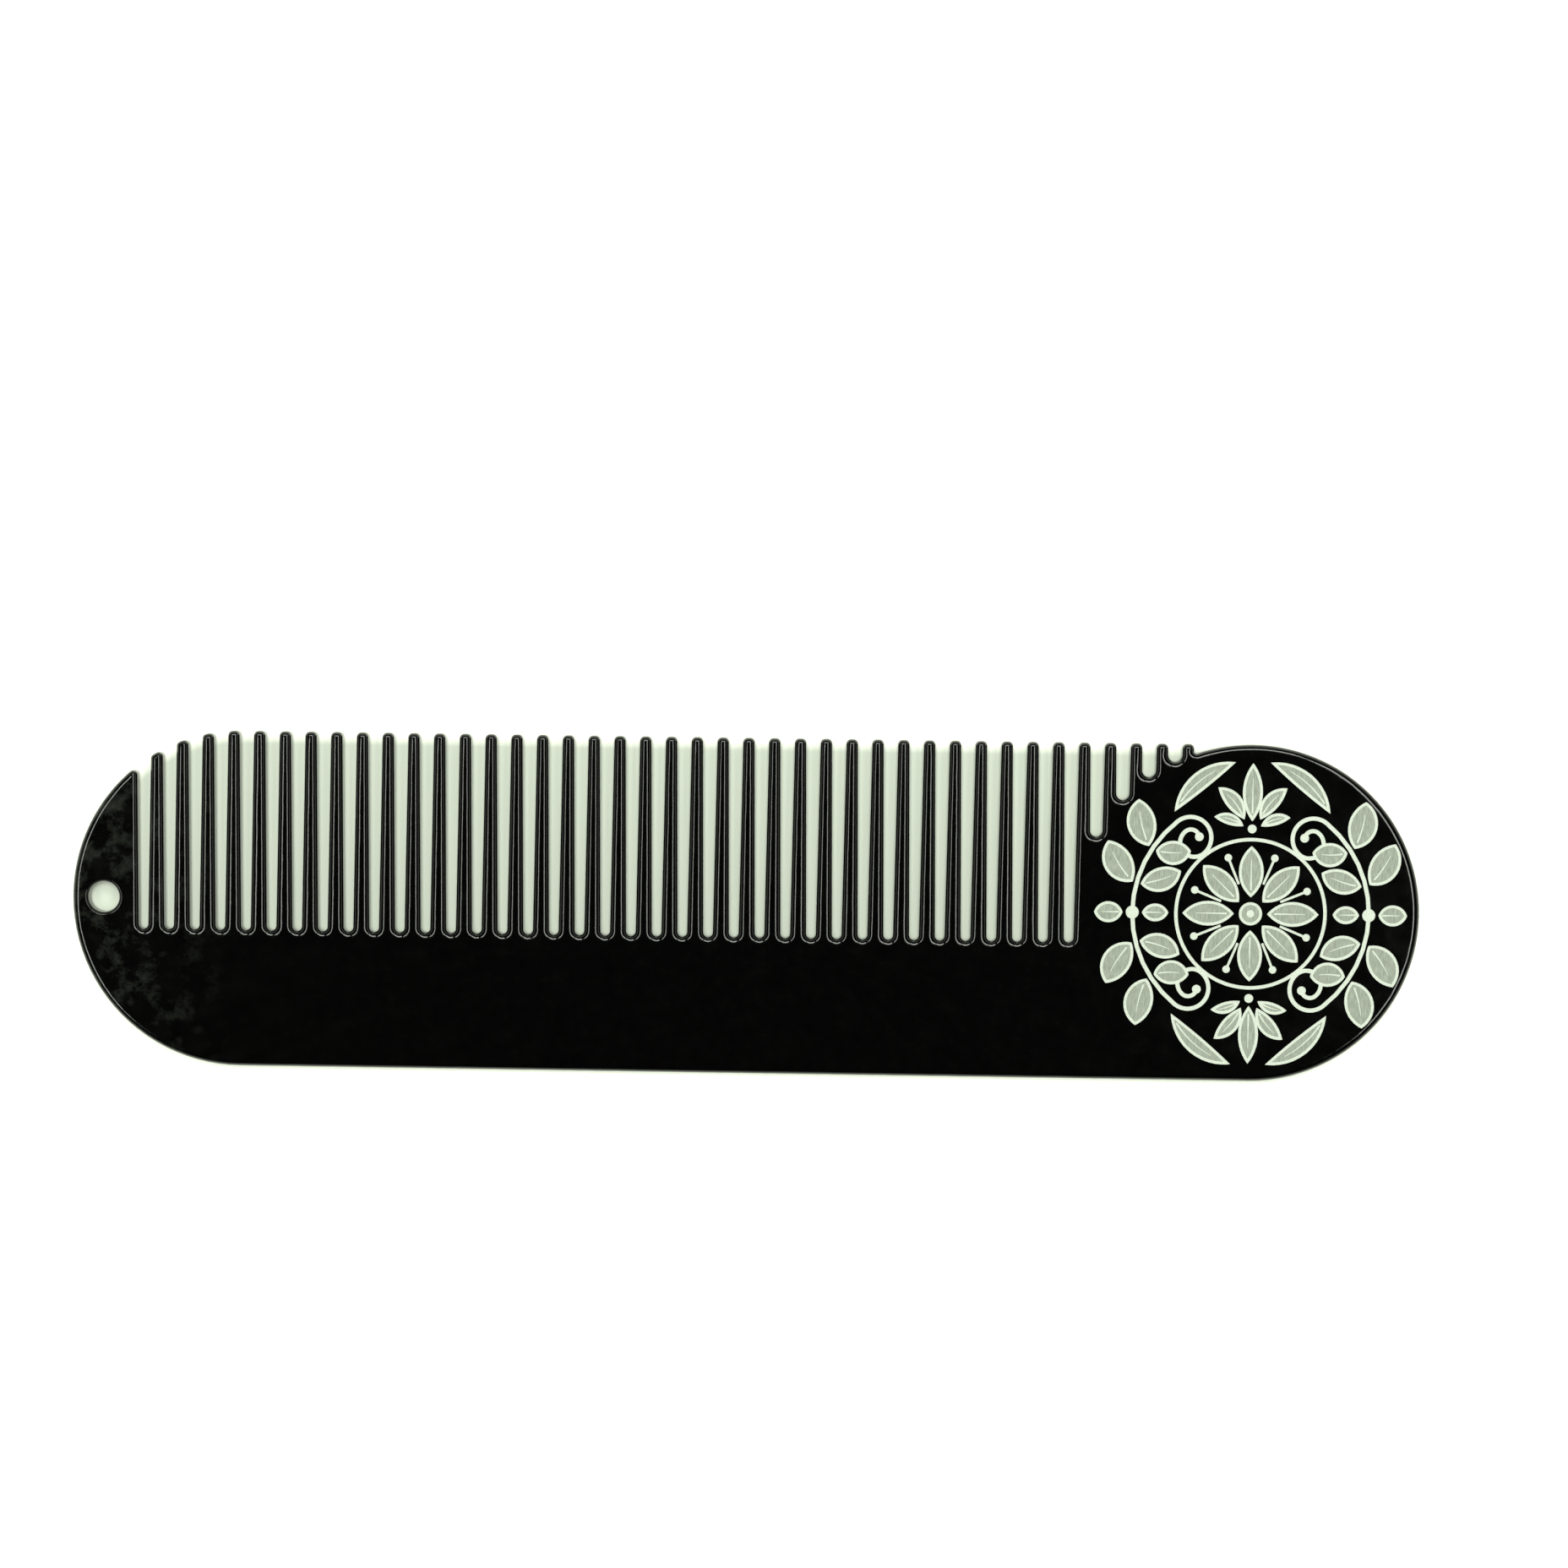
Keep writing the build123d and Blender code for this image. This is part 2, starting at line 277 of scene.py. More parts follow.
def rim_direction(point):
    """The outline's outward direction at the rim near a point."""
    if point.x < LEFT_CENTRE.x:
        return (point - LEFT_CENTRE).normalized()
    return Vector((0, 1))


def unevenness(point):
    """The factor by which the paint widens or narrows the rounded edge at a point."""
    return 1 + UNEVEN * noise.noise(Vector((point.x, point.y, 0)) / UNEVEN_SIZE)


def line_rims(start, end, inward, steps, widen, end_widen=None):
    """Points along a straight stretch, without its last one. Its edge may widen towards the end."""
    rims = []
    for step in range(steps):
        point = start.lerp(end, step / steps)
        width = widen + ((end_widen or widen) - widen) * step / steps
        rims.append(Rim(point, inward, width * unevenness(point), None))
    return rims


def arc_rims(centre, radius, start, end, steps, widen, hollow=False):
    """Points along an arc from one direction to another, without its last one.

    A hollow arc is a slot's bottom: its metal is outside the circle, and the edge is widest at its
    lowest point.
    """
    first = atan2(start.y, start.x)
    turn = atan2(start.x * end.y - start.y * end.x, start.dot(end))
    rims = []
    for step in range(steps):
        angle = first + turn * step / steps
        outward = Vector((cos(angle), sin(angle)))
        point = centre + outward * radius
        width = widen
        if hollow:
            width = ROOT_WIDEN + (widen - ROOT_WIDEN) * max(-outward.y, 0) ** 2
        inward = outward if hollow else -outward
        rims.append(Rim(point, inward, width * unevenness(point), None))
    return rims


def tip_rims(centre, start, end):
    """The rounded corner of a tooth's tip, which closes to a point when the edge passes its middle."""
    corner = Corner(centre, (start + end) / (1 + start.dot(end)))
    rims = arc_rims(centre, TIP_RADIUS, start, end, TIP_STEPS, TOOTH_WIDEN)
    return [rim._replace(corner=corner) for rim in rims]


def outline():
    """The comb's outline, clockwise from the lowest point of the end with the hanging hole."""
    up, down, left, right = Vector((0, 1)), Vector((0, -1)), Vector((-1, 0)), Vector((1, 0))
    guard_tip = tip_centre(0, -1)
    rims = arc_rims(LEFT_CENTRE, END_RADIUS, down, left, GUARD_STEPS, END_WIDEN)
    to_tip = rim_direction(guard_tip)
    rims += arc_rims(LEFT_CENTRE, END_RADIUS, left, to_tip, GUARD_STEPS, END_WIDEN)
    rims += tip_rims(guard_tip, to_tip, -wall_inward(-1))
    for slot in range(TOOTH_COUNT):
        bottom = root_centre(slot)
        root = root_radius(slot)
        before = tip_centre(slot, -1)
        after = tip_centre(slot, 1)
        beyond = tip_centre(slot + 1, -1)
        left_foot = bottom + wall_inward(-1) * root
        right_foot = bottom + wall_inward(1) * root
        left_top = before - wall_inward(-1) * TIP_RADIUS
        right_top = after - wall_inward(1) * TIP_RADIUS
        rims += line_rims(left_top, left_foot, wall_inward(-1), WALL_STEPS, TOOTH_WIDEN, ROOT_WIDEN)
        half = ROOT_STEPS // 2
        rims += arc_rims(bottom, root, wall_inward(-1), down, half, SLOT_WIDEN, hollow=True)
        rims += arc_rims(bottom, root, down, wall_inward(1), half, SLOT_WIDEN, hollow=True)
        rims += line_rims(right_foot, right_top, wall_inward(1), WALL_STEPS, ROOT_WIDEN, TOOTH_WIDEN)
        rims += tip_rims(after, -wall_inward(1), rim_direction(after))
        first, last = rim_direction(after), rim_direction(beyond)
        if after.x < LEFT_CENTRE.x:
            rims += arc_rims(LEFT_CENTRE, END_RADIUS, first, last, RIM_STEPS, TOOTH_WIDEN)
        else:
            start = after + first * TIP_RADIUS
            end = beyond + last * TIP_RADIUS
            rims += line_rims(start, end, down, RIM_STEPS, TOOTH_WIDEN)
        rims += tip_rims(beyond, last, -wall_inward(-1))
    notch = root_centre(TOOTH_COUNT)
    to_head = (HEAD_CENTRE - notch).normalized()
    wall_top = beyond - wall_inward(-1) * TIP_RADIUS
    wall_foot = notch + wall_inward(-1) * NOTCH_RADIUS
    rims += line_rims(wall_top, wall_foot, wall_inward(-1), RIM_STEPS, TOOTH_WIDEN)
    rims += arc_rims(notch, NOTCH_RADIUS, wall_inward(-1), to_head, TIP_STEPS, ROOT_WIDEN, hollow=True)
    rims += arc_rims(HEAD_CENTRE, END_RADIUS, -to_head, right, HEAD_STEPS, HEAD_WIDEN)
    rims += arc_rims(HEAD_CENTRE, END_RADIUS, right, down, HEAD_STEPS, HEAD_WIDEN)
    start = HEAD_CENTRE + down * END_RADIUS
    end = LEFT_CENTRE + down * END_RADIUS
    rims += line_rims(start, end, up, BACK_STEPS, END_WIDEN)
    return rims


def hole_rims():
    """The hanging hole's rim. Its edge is rounded less than the outline's."""
    rims = []
    for step in range(HOLE_STEPS):
        outward = polar(1, 360 * step / HOLE_STEPS)
        point = HOLE_CENTRE + outward * HOLE_RADIUS
        rims.append(Rim(point, outward, HOLE_EDGE / EDGE_HEIGHT * unevenness(point), None))
    return rims


def moved_in(rim, inset):
    """A point of the outline after the edge has come in by inset."""
    inset *= rim.widen
    if rim.corner and inset > TIP_RADIUS:
        return rim.corner.centre + rim.corner.bisector * (TIP_RADIUS - inset)
    return rim.point + rim.inward * inset


# Emblem shapes, as closed loops of points in the emblem's own frame


def polar(radius, angle):
    """A point from a radius and an angle in degrees above +X."""
    return Vector((radius * cos(radians(angle)), radius * sin(radians(angle))))


def circle(centre, radius, steps=CIRCLE_STEPS):
    """Points round a circle."""
    return [centre + polar(radius, 360 * step / steps) for step in range(steps)]


def leaf_sides(length, width, bend, trim):
    """The half length of a leaf trimmed all round, and its two sides' circles as (centre y, radius)."""
    upper = width / 2 + bend
    lower = width / 2 - bend
    upper_radius = (length**2 / 4 + upper**2) / (2 * upper)
    lower_radius = (length**2 / 4 + lower**2) / (2 * lower)
    top, low = upper - upper_radius, lower_radius - lower
    upper_radius -= trim
    lower_radius -= trim
    meet = (upper_radius**2 - lower_radius**2 + low**2 - top**2) / (2 * (low - top))
    half = sqrt(upper_radius**2 - (meet - top) ** 2)
    return half, (top, upper_radius), (low, lower_radius)


def leaf(start, angle, length, width, bend=0, trim=0):
    """A pointed leaf between two arcs, its middle moved sideways by bend, trimmed all round."""
    along, across = polar(1, angle), polar(1, angle + 90)
    half, (top, upper_radius), (low, lower_radius) = leaf_sides(length, width, bend, trim)
    loop = []
    for step in range(LEAF_STEPS):
        x = -half * cos(pi * step / LEAF_STEPS)
        y = top + sqrt(upper_radius**2 - x**2)
        loop.append(start + along * (length / 2 + x) + across * y)
    for step in range(LEAF_STEPS):
        x = half * cos(pi * step / LEAF_STEPS)
        y = low - sqrt(lower_radius**2 - x**2)
        loop.append(start + along * (length / 2 + x) + across * y)
    return loop


def vein(start, angle, length, bend=0):
    """A leaf's vein: a thin wedge along its bent middle line."""
    along, across = polar(1, angle), polar(1, angle + 90)
    left, right = [], []
    for step in range(LEAF_STEPS + 1):
        part = step / LEAF_STEPS
        place = VEIN_START + (VEIN_END - VEIN_START) * part
        middle = bend * (1 - (2 * place - 1) ** 2)
        half = VEIN_HALF_WIDTH * (1 - VEIN_TAPER * part)
        left.append(start + along * (length * place) + across * (middle + half))
        right.append(start + along * (length * place) + across * (middle - half))
    return left + right[::-1]


def arc_points(centre, radius, start, turn):
    """Points along an arc, with both its ends."""
    steps = max(round(abs(turn) / ARC_STEP), 1)
    return [centre + polar(radius, start + turn * step / steps) for step in range(steps + 1)]


def stem():
    """Half a branch: the curved stem, the scroll at its end and the ball inside the scroll."""
    arcs = [(Vector((0, 0)), STEM_RADIUS, 0, STEM_END)]
    angle = STEM_END
    for radius, turn in zip(VOLUTE_RADII, VOLUTE_TURNS):
        centre, last_radius = arcs[-1][:2]
        arcs.append((centre + polar(last_radius - radius, angle), radius, angle, turn))
        angle += turn
    outer, inner = [], []
    for centre, radius, start, turn in arcs:
        first = 1 if outer else 0
        outer += arc_points(centre, radius + STEM_HALF_WIDTH, start, turn)[first:]
        inner += arc_points(centre, radius - STEM_HALF_WIDTH, start, turn)[first:]
    centre, radius = arcs[-1][:2]
    return [outer + inner[::-1], circle(centre + polar(radius, angle), BALL_RADIUS)]


class Emblem:
    """The emblem's loops, sorted by what they bound.

    The windows open the coat. The land closes it again inside the ring, and the inner windows open
    that. Fills are satin and lines are bright.
    """

    def __init__(self):
        self.outer_windows = []
        self.land = []
        self.inner_windows = []
        self.fills = []
        self.lines = []

    def add_leaf(self, windows, start, angle, length, width, bend=0):
        """Adds a leaf's opening, its satin fill and its vein."""
        windows.append(leaf(start, angle, length, width, bend))
        self.fills.append(leaf(start, angle, length, width, bend, LINE_WIDTH))
        self.lines.append(vein(start, angle, length, bend))

    def mirrored(self, across_x, across_y):
        """A copy of the emblem mirrored left to right, top to bottom, or both."""
        flip = Vector((-1 if across_x else 1, -1 if across_y else 1))
        copy = Emblem()
        for name, loops in vars(self).items():
            setattr(copy, name, [[point * flip for point in loop] for loop in loops])
        return copy

    def join(self, other):
        """Takes over another emblem's loops."""
        for name, loops in vars(other).items():
            getattr(self, name).extend(loops)


def quarter():
    """A quarter of the two branches: a stem, its leaves and the long leaf along the rim."""
    part = Emblem()
    windows = part.outer_windows
    windows += stem()
    for angle, inner_length in STEM_LEAVES:
        foot = polar(STEM_RADIUS + LEAF_GAP, angle)
        lean = angle + OUTER_LEAF_LEAN
        part.add_leaf(windows, foot, lean, OUTER_LEAF_LENGTH, OUTER_LEAF_WIDTH, OUTER_LEAF_BEND)
        foot = polar(STEM_RADIUS - LEAF_GAP, angle)
        lean = angle + INNER_LEAF_LEAN
        part.add_leaf(windows, foot, lean, inner_length, INNER_LEAF_WIDTH, INNER_LEAF_BEND)
    foot = polar(*RIM_LEAF_FOOT)
    reach = polar(*RIM_LEAF_TIP) - foot
    lean = degrees(atan2(reach.y, reach.x))
    part.add_leaf(windows, foot, lean, reach.length, RIM_LEAF_WIDTH, RIM_LEAF_BEND)
    return part


def palmette():
    """Five leaves and a ball that rise from the ring at the top of the emblem."""
    part = Emblem()
    foot = Vector((0, PALMETTE_Y))
    part.outer_windows.append(circle(foot, BALL_RADIUS))
    for angle, gap, length, width, bend in PALMETTE_LEAVES:
        part.add_leaf(part.outer_windows, foot + polar(gap, angle), angle, length, width, bend)
    return part


def bud():
    """The bud in the middle of a branch, with a leaf on each side."""
    part = Emblem()
    part.outer_windows.append(circle(Vector((STEM_RADIUS, 0)), BUD_RADIUS))
    for radius, angle, length, width in BUD_LEAVES:
        part.add_leaf(part.outer_windows, Vector((radius, 0)), angle, length, width)
    return part


def rosette():
    """The flower in the middle: a core, pointed petals, and a stamen between each two petals."""
    part = Emblem()
    windows = part.inner_windows
    middle = Vector((0, 0))
    windows.append(circle(middle, CORE_RADIUS))
    part.fills.append(circle(middle, CORE_RADIUS - LINE_WIDTH))
    part.lines.append(circle(middle, CORE_DOT_RADIUS))
    for petal in range(PETAL_COUNT):
        angle = petal * 360 / PETAL_COUNT
        between = angle + 180 / PETAL_COUNT
        part.add_leaf(windows, polar(PETAL_FOOT, angle), angle, PETAL_LENGTH, PETAL_WIDTH)
        along, across = polar(1, between), polar(1, between + 90) * FILAMENT_WIDTH / 2
        near = along * (FILAMENT_RADIUS - FILAMENT_LENGTH / 2)
        far = along * (FILAMENT_RADIUS + FILAMENT_LENGTH / 2)
        windows.append([near - across, far - across, far + across, near + across])
        windows.append(circle(along * ANTHER_RADIUS, ANTHER_SIZE))
    return part


def emblem():
    """The whole emblem, moved to the middle of the head."""
    whole = rosette()
    whole.outer_windows.append(circle(Vector((0, 0)), RING_RADIUS + RING_HALF_WIDTH, RING_STEPS))
    whole.land.append(circle(Vector((0, 0)), RING_RADIUS - RING_HALF_WIDTH, RING_STEPS))
    for across_x in (False, True):
        whole.join(bud().mirrored(across_x, False))
        for across_y in (False, True):
            whole.join(quarter().mirrored(across_x, across_y))
    for across_y in (False, True):
        whole.join(palmette().mirrored(False, across_y))
    for name, loops in vars(whole).items():
        setattr(whole, name, [[point + HEAD_CENTRE for point in loop] for loop in loops])
    return whole


# Meshes


def twice_area(loop):
    """Twice a closed loop's area, negative if the loop runs clockwise."""
    return sum(start.cross(end) for start, end in zip(loop, loop[1:] + loop[:1]))


def triangulate(groups):
    """Triangles over named groups of closed loops.

    Returns the points, and for each triangle its corners and the names of the groups it lies in.
    """
    points, loops, names = [], [], []
    for name, group in groups.items():
        for loop in group:
            loops.append(list(range(len(points), len(points) + len(loop))))
            points += loop if twice_area(loop) > 0 else loop[::-1]
            names.append(name)
    inside_constraints = 1
    found = delaunay_2d_cdt(points, [], loops, inside_constraints, TRIANGULATE_WITHIN)
    places, triangles, origins = found[0], found[2], found[5]
    inside = [{names[index] for index in origin} for origin in origins]
    return places, list(zip(triangles, inside))


def in_window(inside):
    """Whether a triangle in these groups is where the emblem opens the coat."""
    if "inner_windows" in inside:
        return True
    return "outer_windows" in inside and "land" not in inside


def edge_section(coat, steps):
    """The edge's section from the top's flat to the underside's, as (inset, height) pairs.

    coat is how far under the outer surface it runs.
    """
    height = EDGE_HEIGHT - coat
    curve = [pi / 2 * step / steps for step in range(steps + 1)]
    upper = []
    for angle in reversed(curve):
        inset = coat + height * (1 - cos(angle))
        upper.append((inset, THICKNESS - coat - height * (1 - sin(angle))))
    upper = [(EDGE_HEIGHT + TOP_BAND, THICKNESS - coat)] + upper
    return upper + [(inset, THICKNESS - z) for inset, z in reversed(upper)]


def add_ring(bm, rims, section):
    """Adds the strips of one closed edge, from its first section point to its last."""
    loops = []
    for inset, z in section:
        places = [moved_in(rim, inset) for rim in rims]
        loops.append([bm.verts.new((p.x * MM, p.y * MM, z * MM)) for p in places])
    count = len(rims)
    for upper, lower in zip(loops, loops[1:]):
        for index in range(count):
            after = (index + 1) % count
            bm.faces.new((upper[index], upper[after], lower[after], lower[index]))


def add_flat(bm, places, triangles, z, material=None):
    """Adds flat triangles at a height. material gives a triangle's material index from its groups."""
    verts = {}
    for corners, inside in triangles:
        for corner in corners:
            if corner not in verts:
                place = places[corner]
                verts[corner] = bm.verts.new((place.x * MM, place.y * MM, z * MM))
        face = bm.faces.new([verts[corner] for corner in corners])
        if material:
            face.material_index = material(inside)
    return verts


def add_walls(bm, triangles, upper, lower):
    """Joins the borders of two flats that have the same triangles."""
    uses = {}
    for corners, _ in triangles:
        for start, end in zip(corners, corners[1:] + corners[:1]):
            uses.setdefault(frozenset((start, end)), []).append((start, end))
    for border in uses.values():
        if len(border) == 1:
            start, end = border[0]
            bm.faces.new((upper[start], lower[start], lower[end], upper[end]))


def finish_mesh(bm, name, materials, weld=True):
    """Turns a bmesh into an object with sharp edges kept sharp."""
    if weld:
        bmesh.ops.remove_doubles(bm, verts=bm.verts, dist=WELD_WITHIN)
    bmesh.ops.recalc_face_normals(bm, faces=bm.faces)
    mesh = bpy.data.meshes.new(name)
    bm.to_mesh(mesh)
    bm.free()
    mesh.polygons.foreach_set("use_smooth", [True] * len(mesh.polygons))
    mesh.set_sharp_from_angle(angle=SHARP_ANGLE)
    for material in materials:
        mesh.materials.append(material)
    piece = bpy.data.objects.new(name, mesh)
    bpy.context.scene.collection.objects.link(piece)
    return piece


def build_coat(rims, drawing, material):
    """The coat: a thin shell round the plate, open at the hanging hole and at the emblem."""
    bm = bmesh.new()
    hole = hole_rims()
    for coat, steps in ((0, EDGE_STEPS), (COAT, INNER_STEPS)):
        section = edge_section(coat, steps)
        add_ring(bm, rims, section)
        add_ring(bm, hole, section)
    flat = EDGE_HEIGHT + TOP_BAND
    borders = {
        "top": [[moved_in(rim, flat) for rim in rims]],
        "hole": [[moved_in(rim, flat) for rim in hole]],
    }
    places, triangles = triangulate(borders)
    under = [(corners, inside) for corners, inside in triangles if inside == {"top"}]
    add_flat(bm, places, under, 0)
    add_flat(bm, places, under, COAT)

    places, triangles = triangulate({**borders, **vars(drawing)})
    closed = []
    for corners, inside in triangles:
        if "top" in inside and "hole" not in inside and not in_window(inside):
            closed.append((corners, inside))
    upper = add_flat(bm, places, closed, THICKNESS)
    lower = add_flat(bm, places, closed, THICKNESS - COAT)
    opened = [(corners, inside) for corners, inside in triangles if in_window(inside)]
    add_walls(bm, opened, upper, lower)
    return finish_mesh(bm, "gloss_coat", [material])


def build_engraving(drawing, materials):
    """The bright metal at the bottom of the emblem: satin leaves with brighter lines round them."""
    places, triangles = triangulate(vars(drawing))
    shown = [(corners, inside) for corners, inside in triangles if in_window(inside)]
    bm = bmesh.new()

    def finish(inside):
        return FILL if "fills" in inside and "lines" not in inside else LINE

    top = THICKNESS - ENGRAVED_DEPTH
    upper = add_flat(bm, places, shown, top, finish)
    lower = add_flat(bm, places, shown, PLATE_TOP, finish)
    add_walls(bm, shown, upper, lower)
    return finish_mesh(bm, "engraved_emblem", materials, weld=False)


# Materials


def start_material(name):
    """A material with an output, a Principled shader and object coordinates, and nothing else."""
    material = bpy.data.materials.new(name)
    material.use_nodes = True
    nodes = material.node_tree.nodes
    nodes.clear()
    output = nodes.new("ShaderNodeOutputMaterial")
    shader = nodes.new("ShaderNodeBsdfPrincipled")
    place = nodes.new("ShaderNodeTexCoord")
    material.node_tree.links.new(shader.outputs["BSDF"], output.inputs["Surface"])
    return material, shader, place.outputs["Object"]


def add_noise(material, place, size, detail=2, roughness=0.5):
    """Noise with features of a size in millimetres."""
    node = material.node_tree.nodes.new("ShaderNodeTexNoise")
    node.inputs["Scale"].default_value = 1 / (size * MM)
    node.inputs["Detail"].default_value = detail
    node.inputs["Roughness"].default_value = roughness
    material.node_tree.links.new(place, node.inputs["Vector"])
    return node.outputs["Fac"]


def add_ramp(material, value, stops):
    """Colours or greys over a value, from (place, colour) stops."""
    node = material.node_tree.nodes.new("ShaderNodeValToRGB")
    ramp = node.color_ramp
    while len(ramp.elements) < len(stops):
        ramp.elements.new(0.5)
    for element, (position, colour) in zip(ramp.elements, stops):
        element.position = position
        level = colour if isinstance(colour, tuple) else (colour, colour, colour)
        element.color = (*level, 1)
    material.node_tree.links.new(value, node.inputs["Fac"])
    return node.outputs["Color"]


def add_mix(material, factor, base, colour):
    """A colour laid over another by a factor."""
    node = material.node_tree.nodes.new("ShaderNodeMix")
    node.data_type = "RGBA"
    material.node_tree.links.new(factor, node.inputs["Factor"])
    material.node_tree.links.new(base, node.inputs["A"])
    node.inputs["B"].default_value = (*colour, 1)
    return node.outputs["Result"]


def add_bump(material, height, depth, before=None):
    """A bump whose full height is a depth in millimetres, on top of another bump if given."""
    node = material.node_tree.nodes.new("ShaderNodeBump")
    node.inputs["Distance"].default_value = depth * MM
    material.node_tree.links.new(height, node.inputs["Height"])
    if before:
        material.node_tree.links.new(before, node.inputs["Normal"])
    return node.outputs["Normal"]


def stretched(material, place, scale):
    """Coordinates scaled along each axis, for marks that run one way."""
    node = material.node_tree.nodes.new("ShaderNodeMapping")
    node.inputs["Scale"].default_value = scale
    material.node_tree.links.new(place, node.inputs["Vector"])
    return node.outputs["Vector"]


def black_coat_material():
    """Gloss black powder coat: orange peel, faint mottling, a little dust, and a painted reflection, a
    lighter cloudy sheen in the colour that fades away from the hanging hole's end."""
    material, shader, place = start_material("gloss_black_coat")
    nodes, links = material.node_tree.nodes, material.node_tree.links
    mottle = add_noise(material, place, 1.1, 5, 0.65)
    black, dark, soot = (0.0004, 0.0004, 0.0004), (0.0006, 0.0007, 0.0006), (0.0014, 0.0015, 0.0013)
    base = add_ramp(material, mottle, ((0.3, black), (0.55, dark), (0.75, soot)))

    axes = nodes.new("ShaderNodeSeparateXYZ")
    links.new(place, axes.inputs["Vector"])
    near_hole = nodes.new("ShaderNodeMapRange")
    near_hole.inputs["From Min"].default_value = PAINTED_SHEEN_END * MM
    near_hole.inputs["From Max"].default_value = PAINTED_SHEEN_START * MM
    links.new(axes.outputs["X"], near_hole.inputs["Value"])
    # painted reflection: a lighter cloudy tone laid into the black near the hanging hole's end
    clouds = add_ramp(material, add_noise(material, place, 2.4, 6, 0.7), ((0.5, 0.0), (0.72, 1.0)))
    painted_sheen_mask = nodes.new("ShaderNodeMath")
    painted_sheen_mask.operation = "MULTIPLY"
    links.new(near_hole.outputs["Result"], painted_sheen_mask.inputs[0])
    links.new(clouds, painted_sheen_mask.inputs[1])
    with_painted_sheen = add_mix(material, painted_sheen_mask.outputs["Value"], base, PAINTED_SHEEN_TONE)

    specks = add_noise(material, place, 0.12, 1)
    dust = add_ramp(material, specks, ((0.8, 0.0), (0.88, 1.0)))
    links.new(add_mix(material, dust, with_painted_sheen, DUST_TONE), shader.inputs["Base Color"])
    sheen = add_ramp(material, add_noise(material, place, 2.3, 3), ((0.3, 0.07), (0.7, 0.14)))
    links.new(sheen, shader.inputs["Roughness"])
    shader.inputs["IOR"].default_value = 1.6
    swell = add_bump(material, add_noise(material, place, 1.3, 1), 0.014)
    peel = add_bump(material, add_noise(material, place, 0.4, 2), 0.004, swell)
    links.new(add_bump(material, specks, 0.001, peel), shader.inputs["Normal"])
    return material


def engraved_material(name, tones, roughness, stretch):
    """Laser-marked steel: fine hatching between two tones, and a grainy satin finish."""
    material, shader, place = start_material(name)
    links = material.node_tree.links
    grain = add_noise(material, place, 0.09, 2)
    hatch = add_noise(material, stretched(material, place, stretch), 0.12, 2)
    tone = add_ramp(material, hatch, ((0.32, tones[0]), (0.68, tones[1])))
    links.new(tone, shader.inputs["Base Color"])
    shader.inputs["Metallic"].default_value = 0.25
    satin = add_ramp(material, grain, ((0.3, roughness - 0.08), (0.7, roughness + 0.08)))
    links.new(satin, shader.inputs["Roughness"])
    fine = add_bump(material, hatch, 0.004)
    links.new(add_bump(material, grain, 0.003, fine), shader.inputs["Normal"])
    return material


def plate_material():
    """The steel plate under the coat: brushed along its length."""
    material, shader, place = start_material("brushed_plate_steel")
    links = material.node_tree.links
    brush = add_noise(material, stretched(material, place, (0.06, 1, 1)), 0.15, 3)
    tone = add_ramp(material, brush, ((0.3, (0.5, 0.53, 0.47)), (0.7, (0.63, 0.66, 0.6))))
    links.new(tone, shader.inputs["Base Color"])
    shader.inputs["Metallic"].default_value = 1.0
    links.new(add_ramp(material, brush, ((0.3, 0.3), (0.7, 0.42))), shader.inputs["Roughness"])
    links.new(add_bump(material, brush, 0.003), shader.inputs["Normal"])
    return material


def floor_material():
    """Matt pale card, overlit so that it is white, with painted shade: a greyer patch right under the
    comb.
    """
    material, shader, place = start_material("pale_card")
    nodes, links = material.node_tree.nodes, material.node_tree.links
    grain = add_noise(material, place, 0.8, 4, 0.6)
    open_tone = add_ramp(material, grain, ((0.3, (0.83, 0.87, 0.78)), (0.7, (0.87, 0.9, 0.82))))

    axes = nodes.new("ShaderNodeSeparateXYZ")
    links.new(place, axes.inputs["Vector"])
    across = nodes.new("ShaderNodeMath")
    across.operation = "ABSOLUTE"
    links.new(axes.outputs["X"], across.inputs[0])
    beyond = nodes.new("ShaderNodeMath")
    beyond.operation = "SUBTRACT"
    beyond.use_clamp = True
    links.new(across.outputs["Value"], beyond.inputs[0])
    beyond.inputs[1].default_value = END_X * MM
    arm = nodes.new("ShaderNodeCombineXYZ")
    links.new(beyond.outputs["Value"], arm.inputs["X"])
    links.new(axes.outputs["Y"], arm.inputs["Y"])
    reach = nodes.new("ShaderNodeVectorMath")
    reach.operation = "LENGTH"
    links.new(arm.outputs["Vector"], reach.inputs[0])
    under = nodes.new("ShaderNodeMapRange")
    under.inputs["From Min"].default_value = (END_RADIUS - SHADE_PATCH_MARGIN) * MM
    under.inputs["From Max"].default_value = (END_RADIUS - SHADE_PATCH_MARGIN - SHADE_PATCH_FADE) * MM
    links.new(reach.outputs["Value"], under.inputs["Value"])
    # painted shade: the darker, greener tone laid on the ground under the comb's outline
    tone = add_mix(material, under.outputs["Result"], open_tone, PAINTED_SHADE_TONE)

    links.new(tone, shader.inputs["Base Color"])
    shader.inputs["Roughness"].default_value = 0.9
    links.new(add_bump(material, grain, 0.01), shader.inputs["Normal"])
    return material


# Studio


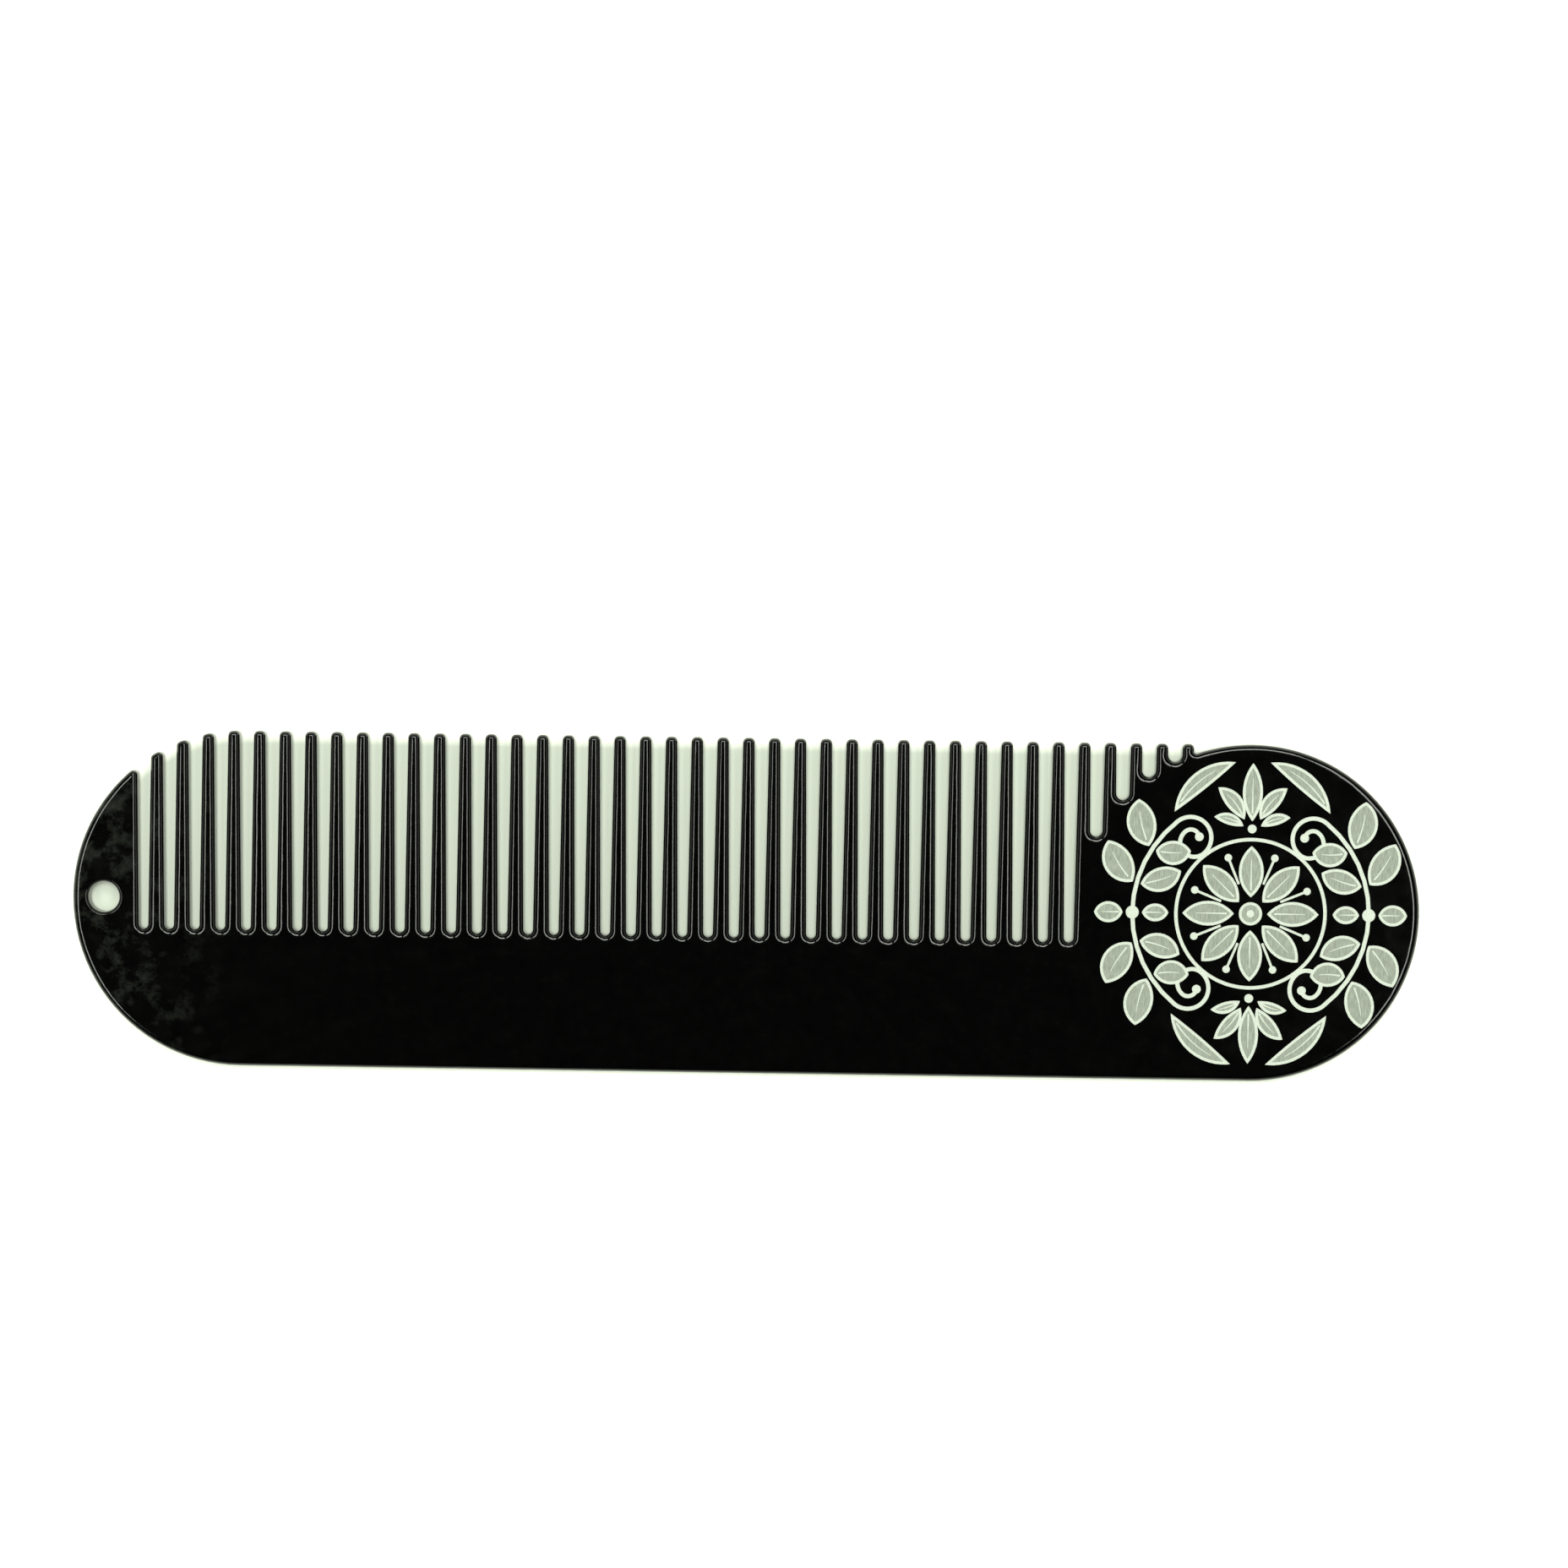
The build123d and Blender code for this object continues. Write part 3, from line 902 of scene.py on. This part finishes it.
def build_floor(material):
    """A thin round sheet of card under the comb, wider than the camera sees."""
    bm = bmesh.new()
    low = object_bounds()[0][2]
    rings = []
    for drop in (0.0, FLOOR_DEPTH):
        ring = []
        for step in range(FLOOR_STEPS):
            place = polar(FLOOR_REACH, 360 * step / FLOOR_STEPS)
            ring.append(bm.verts.new((place.x, place.y, low - drop)))
        rings.append(ring)
    bm.faces.new(rings[0])
    bm.faces.new(rings[1][::-1])
    for step in range(FLOOR_STEPS):
        after = (step + 1) % FLOOR_STEPS
        bm.faces.new((rings[0][step], rings[1][step], rings[1][after], rings[0][after]))
    floor = finish_mesh(bm, "floor", [material], weld=False)
    floor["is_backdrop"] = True


def aim(thing, target, roll=0.0):
    """Turns a light or camera to a point with +Y up in its view, then rolls it anticlockwise."""
    back = (thing.location - Vector(target)).normalized()
    across = Vector((cos(roll), sin(roll), 0))
    across = (across - back * across.dot(back)).normalized()
    turn = Matrix((across, back.cross(across), back)).transposed().to_4x4()
    thing.matrix_world = Matrix.Translation(thing.location) @ turn


def add_light(name, way, distance, size, power, colour, glossy=True):
    """A soft box in a direction from the comb. size is its width and its length, in metres."""
    data = bpy.data.lights.new(name, "AREA")
    data.shape = "RECTANGLE"
    data.size, data.size_y = size
    data.energy = power
    data.color = colour
    light = bpy.data.objects.new(name, data)
    bpy.context.scene.collection.objects.link(light)
    light.location = Vector(way).normalized() * distance
    aim(light, (0, 0, 0))
    light.visible_glossy = glossy


def build_lights():
    """Soft boxes above, behind and on both sides. The one above isn't seen in the gloss."""
    white = (0.97, 1.0, 0.92)
    add_light("above", (0.0, 0.15, 1.0), 0.9, (0.3, 0.4), 10.2, white, glossy=False)
    add_light("right", (0.47, 0.1, 1.0), 0.7, (0.13, 0.6), 1.5, white)
    add_light("left", (-0.55, 0.0, 1.0), 0.7, (0.1, 0.5), 1.0, white)
    add_light("behind", (0.0, 0.7, 1.0), 0.7, (0.5, 0.16), 1.7, white)


def build_world():
    """A pale room up to a little above the horizon, and a dark ceiling."""
    world = bpy.data.worlds.new("studio")
    world.use_nodes = True
    nodes, links = world.node_tree.nodes, world.node_tree.links
    way = nodes.new("ShaderNodeTexCoord")
    axes = nodes.new("ShaderNodeSeparateXYZ")
    links.new(way.outputs["Generated"], axes.inputs["Vector"])
    room = nodes.new("ShaderNodeValToRGB")
    links.new(axes.outputs["Z"], room.inputs["Fac"])
    walls, ceiling = room.color_ramp.elements
    walls.position, walls.color = 0.2, (0.86, 0.9, 0.8, 1)
    ceiling.position, ceiling.color = 0.42, (0.006, 0.007, 0.006, 1)
    links.new(room.outputs["Color"], nodes["Background"].inputs["Color"])
    bpy.context.scene.world = world


def build_camera():
    """The camera at the photograph's viewing angle."""
    data = bpy.data.cameras.new("camera")
    camera = bpy.data.objects.new("camera", data)
    bpy.context.scene.collection.objects.link(camera)
    data.sensor_width = SENSOR
    data.lens = SENSOR * (CAMERA_PLACE - CAMERA_TARGET).length / CAMERA_FIELD
    data.clip_start = 0.01
    camera.location = CAMERA_PLACE * MM
    aim(camera, CAMERA_TARGET * MM, CAMERA_ROLL)
    bpy.context.scene.camera = camera


def main():
    """Builds the pieces, gives the plate its steel, and sets up the studio."""
    rims = outline()
    drawing = emblem()
    coat = build_coat(rims, drawing, black_coat_material())
    line = engraved_material("bright_line", BRIGHT_TONES, 0.5, (1, 1, 1))
    fill = engraved_material("satin_fill", SATIN_TONES, 0.6, (1, 0.15, 1))
    engraving = build_engraving(drawing, [line, fill])
    steel = plate_material()
    for name in ("end_guard", "spine", "head", "teeth"):
        for material_slot in frame["nodes"][name].material_slots:
            material_slot.material = steel

    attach(coat, "root")
    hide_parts("powder_coat")
    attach(engraving, "root")

    build_floor(floor_material())
    build_lights()
    build_world()
    build_camera()
    bpy.context.scene.view_settings.view_transform = "Standard"


main()
